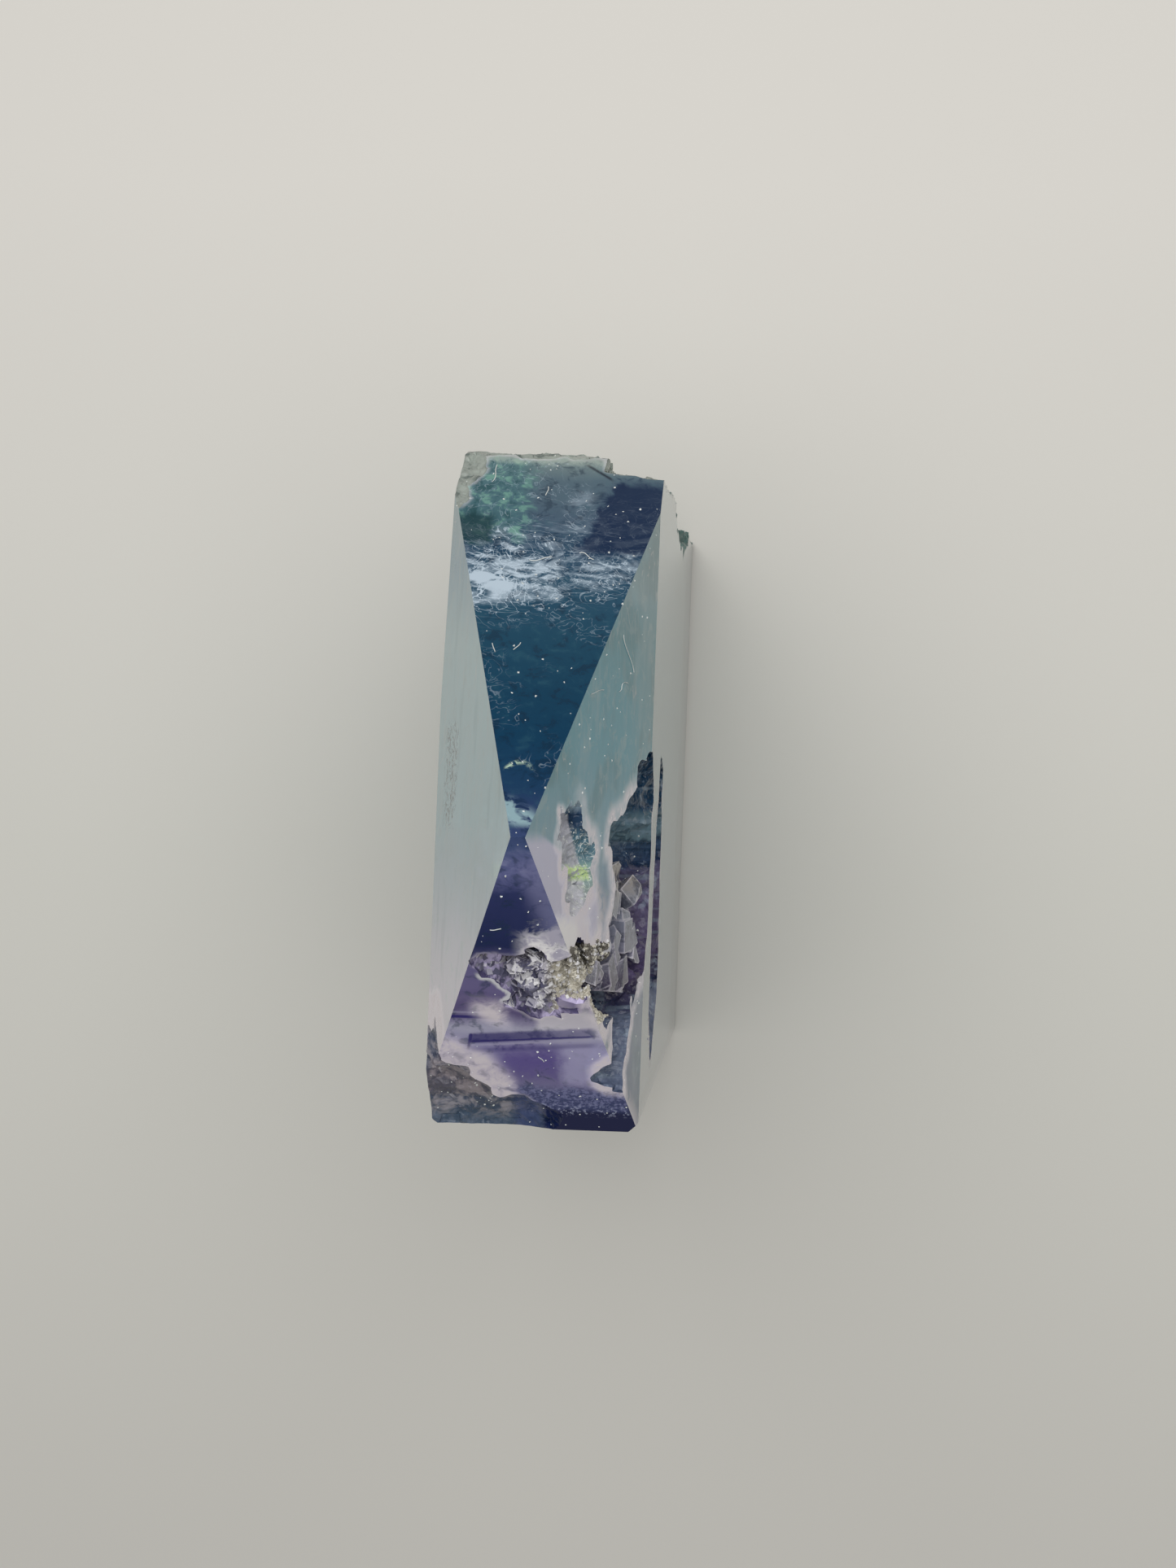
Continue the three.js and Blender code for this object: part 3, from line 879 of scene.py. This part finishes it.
def frost_and_glow_of(spot):
    """How pale the skin is beside a break, by frost and by painted light from the break: thin and patchy in
    most places, and wide at the big breaks.
    """
    wavering = spot.from_break + spot.stir * 0.5
    patchy = spot.cloud.between(0.44, 0.58, 0.0, 0.4)
    thin = wavering.between(0.3, 0.0) * patchy
    foot = wavering.between(2.5, 1.3) * spot.within(x=(-19.5, -12.5), y=(0.8, 9.0), soft=0.5)
    down = wavering.between(1.5, 0.4) * spot.within(x=(-13.0, 0.5), y=(-9.0, -3.4), soft=0.5)
    chipped = wavering.between(1.0, 0.4) * spot.within(x=(-18.6, -13.2), y=(-9.0, -3.9), soft=0.4)
    wide = largest(foot, down, chipped)
    gap_rim = wavering.between(0.9, 0.35) * spot.from_ridge.between(-2.7, -2.45) * spot.front
    gap_rim = gap_rim * spot.x.band(-7.2, -1.0, 0.3)
    wide = largest(wide, gap_rim)
    shape = spot.fine_cloud.between(0.3, 0.6, 0.55, 1.0)
    return largest(thin, wide * shape) * spot.polished


# %% The whole finish of the stone
def fluorite_finish():
    material, tree, principled, output, at = new_material("banded_fluorite")
    spot = Spot(tree, at)
    veil = veil_of(tree, spot)
    dark_lines, pale_lines = growth_lines(spot)
    frost_and_glow = frost_and_glow_of(spot)
    frosted_end = (spot.x + spot.stir * 1.2).between(19.9, 20.5) * spot.on_natural
    low_corner = spot.broken * spot.y.between(-2.6, -1.6) * spot.x.between(-13.5, -14.5)
    recess = spot.broken * spot.y.between(-2.6, -3.8) * spot.x.between(5.0, 3.0)

    body, extra = deep_colour(tree, spot)
    skin, skin_extra = skin_and_reflection_colour(tree, spot)
    colour = tree.mix(spot.side_face, body, skin)
    colour = tree.mix(spot.broken, colour, break_colour(tree, spot, body))
    colour = tree.painted(
        colour,
        (frosted_end, 0.7, srgb(168, 180, 172)),
        (veil, 0.9, FROST),
        (dark_lines, 0.95, deep(36, 28, 106)),
        (pale_lines, 0.7, deep(172, 168, 196)),
        # the pale lip is partly frost and partly painted light, the glow that the break lets into the skin
        (frost_and_glow, 0.92, CREAM),
        (spot.ground, 1.0, srgb(40, 52, 70)),
    )

    skin_milk = 0.26 + spot.back * spot.x.between(-4.0, -13.0) * 0.24  # more than an upright face has
    milk = (
        spot.side_face * (0.24 + spot.sloping * skin_milk + skin_extra)
        + spot.end_facet * (SCATTER + extra)
        + veil * 0.3
        + frosted_end * 0.3
        + spot.broken * spot.fine_cloud.between(0.35, 0.65, 0.06, 0.26)
        + largest(low_corner, recess) * 0.45
        + spot.broken * spot.x.between(14.0, 16.5) * 0.5
        + ridge_gap_of(spot) * 0.6
        + upper_hollow_of(spot) * 0.45
        + frost_and_glow * 0.5
    )
    clear = (1.0 - milk.at_most(0.94)) * (1.0 - spot.ground * 0.8)
    rough = (
        0.035
        + spot.broken * 0.2
        + spot.ground * 0.4
        + spot.side_face * 0.05
        + frosted_end * 0.3
        + frost_and_glow * 0.2
    )
    grain = tree.noise(at, 6.0, 1, 0.7)
    strength = 0.01 + spot.broken * 0.35
    bump = tree.add("ShaderNodeBump", {"Height": grain, "Strength": strength, "Distance": 0.05 * MM})
    looks = {
        "Base Color": colour,
        "Transmission Weight": clear,
        "Roughness": rough,
        "IOR": FLUORITE_IOR,
        "Specular IOR Level": 0.22,
        "Normal": bump.outputs["Normal"],
    }
    tree.fill(principled, looks)
    absorbing = tree.add("ShaderNodeVolumeAbsorption", {"Color": (0.08, 0.52, 0.66, 1), "Density": 38.0})
    tree.fill(output, {"Volume": absorbing.outputs["Volume"]})
    print("nodes in the stone's finish:", len(tree.nodes))
    return material


stone_mesh.materials.append(fluorite_finish())
placed("fluorite_stone", stone_mesh, "banded_fluorite", "fluorite_point")

# %% [markdown]
# ## Crystals strewn by Geometry Nodes
# A crust in a hollow is hundreds of small crystals that grew wherever they could. The measured crust has
# only the largest ones. The small ones are strewn on its surface, and on the walls around it, by one
# Geometry Nodes group: points on the faces, a small box on each point, turned at random and tinted at
# random. The tint is stored on each box before the boxes are made real, so that the material can read it.

# %% The group that strews crystals
NEARLY_HALF_TURN = 3.1  # radians, to both sides
TINT_SEED = 77


def crystal_group():
    group = bpy.data.node_groups.new("strewn_crystals", "GeometryNodeTree")
    for name, kind in (
        ("Geometry", "NodeSocketGeometry"),
        ("Crystals per mm2", "NodeSocketFloat"),
        ("Smallest, mm", "NodeSocketFloat"),
        ("Largest, mm", "NodeSocketFloat"),
        ("Flatness", "NodeSocketFloat"),
        ("Tilt", "NodeSocketFloat"),
        ("Seed", "NodeSocketInt"),
        ("Finish", "NodeSocketMaterial"),
    ):
        group.interface.new_socket(name, in_out="INPUT", socket_type=kind)
    group.interface.new_socket("Geometry", in_out="OUTPUT", socket_type="NodeSocketGeometry")
    tree = Tree(group)
    given = tree.add("NodeGroupInput").outputs
    seed = given["Seed"]
    per_m2 = Value(tree, given["Crystals per mm2"]) * (1 / MM**2)
    inputs = {"Mesh": given["Geometry"], "Density": per_m2, "Seed": seed}
    points = tree.add("GeometryNodeDistributePointsOnFaces", inputs).outputs
    box = tree.add("GeometryNodeMeshCube", {"Size": (1, 1, 1)}).outputs["Mesh"]
    tilt = Value(tree, given["Tilt"])
    low = tilt * -1.0
    least = tree.vector(low, low, -NEARLY_HALF_TURN)
    most = tree.vector(tilt, tilt, NEARLY_HALF_TURN)
    inputs = {0: least, 1: most, "Seed": seed}
    turn = tree.add("FunctionNodeRandomValue", inputs, data_type="FLOAT_VECTOR").outputs[0]
    inputs = {"Rotation": points["Rotation"], "Rotate By": turn}
    turned = tree.add("FunctionNodeRotateRotation", inputs, rotation_space="LOCAL")
    inputs = {2: given["Smallest, mm"], 3: given["Largest, mm"], "Seed": seed}
    wide = Value(tree, tree.add("FunctionNodeRandomValue", inputs).outputs[1]) * MM
    inputs = {
        "Points": points["Points"],
        "Instance": box,
        "Rotation": turned.outputs[0],
        "Scale": tree.vector(wide, wide, wide * given["Flatness"]),
    }
    boxes = tree.add("GeometryNodeInstanceOnPoints", inputs).outputs["Instances"]
    tint = tree.add("FunctionNodeRandomValue", {2: 0.0, 3: 1.0, "Seed": TINT_SEED}).outputs[1]
    inputs = {"Geometry": boxes, "Name": "tint", "Value": tint}
    stored = tree.add("GeometryNodeStoreNamedAttribute", inputs, domain="INSTANCE")
    real = tree.add("GeometryNodeRealizeInstances", {"Geometry": stored.outputs[0]})
    inputs = {"Geometry": real.outputs[0], "Material": given["Finish"]}
    dressed = tree.add("GeometryNodeSetMaterial", inputs)
    tree.add("NodeGroupOutput", {0: dressed.outputs[0]})
    return group


STREWN = crystal_group()


def strewn(bed, finish, per_mm2, least, most, flatness, tilt, seed):
    """The mesh of the crystals that the group strews on a bed."""
    carrier = in_scene("carrier", bed)
    modifier = carrier.modifiers.new("strewn", "NODES")
    modifier.node_group = STREWN
    wanted = {
        "Crystals per mm2": per_mm2,
        "Smallest, mm": least,
        "Largest, mm": most,
        "Flatness": flatness,
        "Tilt": tilt,
        "Seed": seed,
        "Finish": finish,
    }
    for socket in STREWN.interface.items_tree:
        if socket.in_out == "INPUT" and socket.name in wanted:
            modifier[socket.identifier] = wanted[socket.name]
    bpy.context.view_layer.update()
    made = carrier.evaluated_get(bpy.context.evaluated_depsgraph_get())
    mesh = bpy.data.meshes.new_from_object(made)
    bpy.data.objects.remove(carrier)
    print("crystals strewn:", len(mesh.vertices) // 8)
    return mesh


def part_of(mesh, keep):
    """A copy of the faces whose middle, in mm, and normal keep() accepts."""
    bm = shape_of(mesh)
    gone = [f for f in bm.faces if not keep(f.calc_center_median() / MM, f.normal)]
    bmesh.ops.delete(bm, geom=gone, context="FACES")
    return mesh_of(bm, "bed")


def merged(node):
    """A copy of a node's mesh whose faces share their corners."""
    bm = shape_of(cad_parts[node].data)
    bmesh.ops.remove_doubles(bm, verts=bm.verts, dist=SAME_SPOT)
    return mesh_of(bm, node)


def joined(name, finish, meshes):
    """One mesh of several that share their attributes."""
    whole = mesh_of(shape_of(*meshes), name)
    whole.materials.clear()
    whole.materials.append(finish)
    print(name, "faces:", len(whole.polygons))
    return whole


# %% [markdown]
# ### The grey druse of the upper hollow
# Druse is a lining of fine crystals. On one side of this hollow it is silvery flakes that lie over one
# another like shingles, and on the other side a sandy crescent of grains with dark ones along its upper
# border. Each side is strewn on its own part of the bed. About one crystal in seven is picked by its tint
# and painted near white: a painted glint, the highlight of a face turned to the light.

# %% Druse
SANDY_SIDE = -1.9  # mm along Y, where the flakes end and the sand begins
LOW_FACET = Vector((-2.7, -0.93, 79.25))  # its highest corner, in mm
foot_left = Vector((-18.1, 5.8, 61.2)) - LOW_FACET
foot_right = Vector((-21.3, -6.6, 56.3)) - LOW_FACET
LOW_FACET_NORMAL = foot_left.cross(foot_right).normalized()


def druse_finish():
    material, tree, principled, _, at = new_material("grey_druse")
    x, y, _ = tree.axes(at)
    tint = tree.attribute("tint")
    grit = tree.noise(at, 2.2, 4, 0.7, 0.3)
    stir = grit - 0.5
    silver = tree.mix(tint.between(0.2, 0.8), srgb(96, 96, 122), srgb(232, 230, 244))
    sand = tree.mix(tint, srgb(172, 166, 152), srgb(240, 236, 222))
    to_sand = (y + stir).between(SANDY_SIDE + 0.4, SANDY_SIDE - 0.4)
    upper_rim = x + y * -0.45 + stir * 2.0
    dark_grains = to_sand * upper_rim.between(-9.2, -8.2) * tint.between(0.75, 0.6)
    brown = x.between(-10.1, -9.5) * (1.0 - to_sand)
    colour = tree.painted(
        tree.mix(to_sand, silver, sand),
        (brown, 0.5, srgb(124, 116, 116)),
        (grit.between(0.42, 0.34) * (1.0 - to_sand), 0.5, srgb(62, 62, 78)),
        (dark_grains, 0.8, srgb(66, 62, 58)),
        # painted glints: the crystals with the highest tint are painted near white
        (tint.between(0.84, 0.86), 0.95, srgb(240, 240, 244)),
    )
    looks = {"Base Color": colour, "Roughness": 0.22, "IOR": FLUORITE_IOR, "Transmission Weight": 0.15}
    tree.fill(principled, looks)
    return material


def toned(mesh, seed):
    """A mesh with a tint for each corner, drawn from the way its face looks."""
    shift = Vector((seed, 0, 0))
    spots = [vert.normal * 2.1 + vert.co / (1.2 * MM) + shift for vert in mesh.vertices]
    store(mesh, "tint", "POINT", [0.45 + 0.4 * noise.noise(spot) for spot in spots])
    return mesh


def in_upper_hollow(middle, normal):
    """Picks the broken faces well under the polished facet that the hollow breaks."""
    depth = (LOW_FACET - middle).dot(LOW_FACET_NORMAL)
    near = -13.6 < middle.x < -9.0 and -4.8 < middle.y < 2.2 and middle.z > 62.5
    return near and depth > 0.25


druse = druse_finish()
crust = merged("upper_hollow_crust")
flake_bed = part_of(crust, lambda at, n: at.y > SANDY_SIDE and n.z > -0.2)
sand_bed = part_of(crust, lambda at, n: at.y <= SANDY_SIDE + 0.3 and n.z > -0.2)
wall = part_of(stone_mesh, in_upper_hollow)
print("wall faces in the upper hollow:", len(wall.polygons))
upper_druse = joined(
    "druse_crust",
    druse,
    [
        toned(crust, 5),
        strewn(flake_bed, druse, 16.0, 0.2, 0.6, 0.18, 0.6, 11),
        strewn(sand_bed, druse, 70.0, 0.1, 0.22, 0.8, 1.5, 12),
        strewn(part_of(wall, lambda at, n: at.y > SANDY_SIDE), druse, 6.0, 0.2, 0.5, 0.2, 0.6, 13),
        strewn(part_of(wall, lambda at, n: at.y <= SANDY_SIDE), druse, 60.0, 0.1, 0.22, 0.8, 1.5, 14),
    ],
)
placed("druse_crust", upper_druse, "grey_druse", "upper_hollow_crust")

# %% [markdown]
# ### The clear blocks of the side hollow
# These crystals are larger and glassy: stepped cubes with pale edges and a mottled grey inside. The
# measured shape is kept, and it is only cut finer, so that each corner of its mesh can carry its distance
# from the nearest sharp edge. The material draws the pale edges from that distance.

# %% Block crystals
SHARP = math.radians(25)


def edged(mesh):
    """The mesh cut finer, with each corner's distance in mm from the nearest sharp edge."""
    bm = shape_of(mesh)
    along = []
    for edge in bm.edges:
        if len(edge.link_faces) == 2 and edge.calc_face_angle(0.0) > SHARP:
            steps = max(2, int(edge.calc_length() / (0.05 * MM)))
            a, b = (vert.co for vert in edge.verts)
            along += [a.lerp(b, step / steps) for step in range(steps + 1)]
    split_edges(bm, lambda e: e.calc_length() > 0.22 * MM, 4)
    bmesh.ops.recalc_face_normals(bm, faces=bm.faces)
    far = distances(bm, lookup(along), 1.0)
    cut = mesh_of(bm, "block_crystals")
    store(cut, "from_edge", "POINT", far)
    print("block crystals, faces:", len(cut.polygons))
    return cut


BLOCKS = stops(  # down the side hollow, from the polished end to the middle
    srgb,
    (-14.0, 86, 82, 104),
    (-11.6, 96, 88, 116),
    (-10.4, 156, 154, 176),
    (-8.0, 166, 172, 192),
    (-6.8, 178, 180, 192),
    (-5.6, 198, 190, 182),
    (-4.4, 206, 202, 196),
)


def block_finish():
    material, tree, principled, output, at = new_material("clear_block_crystals")
    x, _, _ = tree.axes(at)
    cloud = tree.noise(at, 1.1, 5, 0.65, 0.6)
    loops = tree.threads(at, 1.2, 2.6, 0.03, 2)
    rim = tree.attribute("from_edge").between(0.11, 0.02)
    colour = tree.painted(
        tree.bands(x + (cloud - 0.5) * 2.0, BLOCKS),
        (cloud.between(0.5, 0.36), 0.7, srgb(70, 76, 96)),
        (cloud.between(0.54, 0.68), 0.5, srgb(176, 180, 194)),
        (loops, 0.5, srgb(196, 200, 212)),
        (rim * cloud.between(0.36, 0.5, 0.25, 1.0), 0.6, srgb(216, 212, 222)),
    )
    clear = 0.42 + rim * -0.3
    looks = {"Base Color": colour, "Transmission Weight": clear, "Roughness": 0.08, "IOR": FLUORITE_IOR}
    tree.fill(principled, looks)
    absorbing = tree.add("ShaderNodeVolumeAbsorption", {"Color": (0.5, 0.55, 0.68, 1), "Density": 120.0})
    tree.fill(output, {"Volume": absorbing.outputs["Volume"]})
    return material


block_mesh = edged(merged("side_hollow_crust"))
block_mesh.materials.clear()
block_mesh.materials.append(block_finish())
placed("block_crystal_crust", block_mesh, "clear_block_crystals", "side_hollow_crust")

# %% [markdown]
# ## Dust and lint
# A stone that has been handled carries dust: white specks, and short curled fibres. They lie on the
# polished facets of the tip. Specks are strewn by the same group as the crystals. Each fibre is a thin tube
# laid one by one: it starts at a place, walks over the facet in short steps and turns a little at each one.

# %% Dust
dust, tree, principled, _, _ = new_material("white_dust")
tree.fill(principled, {"Base Color": srgb(226, 230, 228), "Roughness": 0.7})
tip = part_of(stone_mesh, lambda at, n: at.z > 50.0 and n.z > 0.05)
SPECKS = [  # specks for each mm2, their smallest and largest size in mm, and which faces they lie on
    (0.3, 0.05, 0.12, lambda at, n: abs(n.x) > 0.4),
    (0.2, 0.05, 0.12, lambda at, n: n.y < -0.4 and n.z > 0.08),
    (0.12, 0.04, 0.09, lambda at, n: n.x < -0.5 and at.x < -10.0),
]
specks = [
    strewn(part_of(tip, faces), dust, per_mm2, least, most, 0.5, 1.2, seed)
    for seed, (per_mm2, least, most, faces) in enumerate(SPECKS, 21)
]

# %% Lint
FIBRE = 0.026 * MM  # its radius
SIDES = 5
STEP = 0.08 * MM
LINT = [  # x and y in mm, heading in degrees, length in mm, turn in degrees for each mm
    (18.7, 4.0, -40, 1.3, 60),
    (18.5, 0.5, 200, 0.7, -80),
    (13.4, 0.9, 250, 1.4, 50),
    (14.0, -2.0, 290, 1.1, -90),
    (8.0, 2.2, 200, 0.6, 20),
    (8.1, 0.6, 160, 0.6, -60),
    (5.6, -4.2, 100, 0.7, 70),
    (9.0, -5.0, 184, 2.2, 12),
    (6.2, -5.3, 60, 0.9, 190),
    (-8.0, 1.1, 262, 0.7, 50),
    (-16.4, -1.2, 20, 0.5, 90),
]


def fibre(bm, surface, x, y, heading, length, turn):
    """A thin tube that lies on the surface."""
    at = Vector((x * MM, y * MM, 0.1))
    heading = math.radians(heading)
    ring = None
    steps = int(length * MM / STEP) + 1
    for step in range(steps):
        spot, normal, _, _ = surface.ray_cast(at, Vector((0, 0, -1)))
        if spot is None:
            break
        forward = Vector((math.cos(heading), math.sin(heading), 0))
        aside = normal.cross(forward).normalized()
        middle = spot + normal * FIBRE * 1.2
        around = [math.tau * k / SIDES for k in range(SIDES)]
        ways = [aside * math.cos(a) + normal * math.sin(a) for a in around]
        fresh = [bm.verts.new(middle + way * FIBRE) for way in ways]
        if ring:
            for k in range(SIDES):
                bm.faces.new((ring[k - 1], ring[k], fresh[k], fresh[k - 1]))
        else:
            bm.faces.new(fresh)
        ring = fresh
        at = at + forward * STEP
        heading += math.radians(turn) * (1.6 * math.cos(4 * step / steps) + 0.4) * STEP / MM
    bm.faces.new(ring)


stone_shape = shape_of(stone_mesh)
surface = bvhtree.BVHTree.FromBMesh(stone_shape)
bm = shape_of()
for facts in LINT:
    fibre(bm, surface, *facts)
stone_shape.free()
bmesh.ops.recalc_face_normals(bm, faces=bm.faces)
lint_mesh = mesh_of(bm, "lint")
print("fibres of lint:", len(LINT))
placed("dust_and_lint", joined("dust_and_lint", dust, [lint_mesh, *specks]))
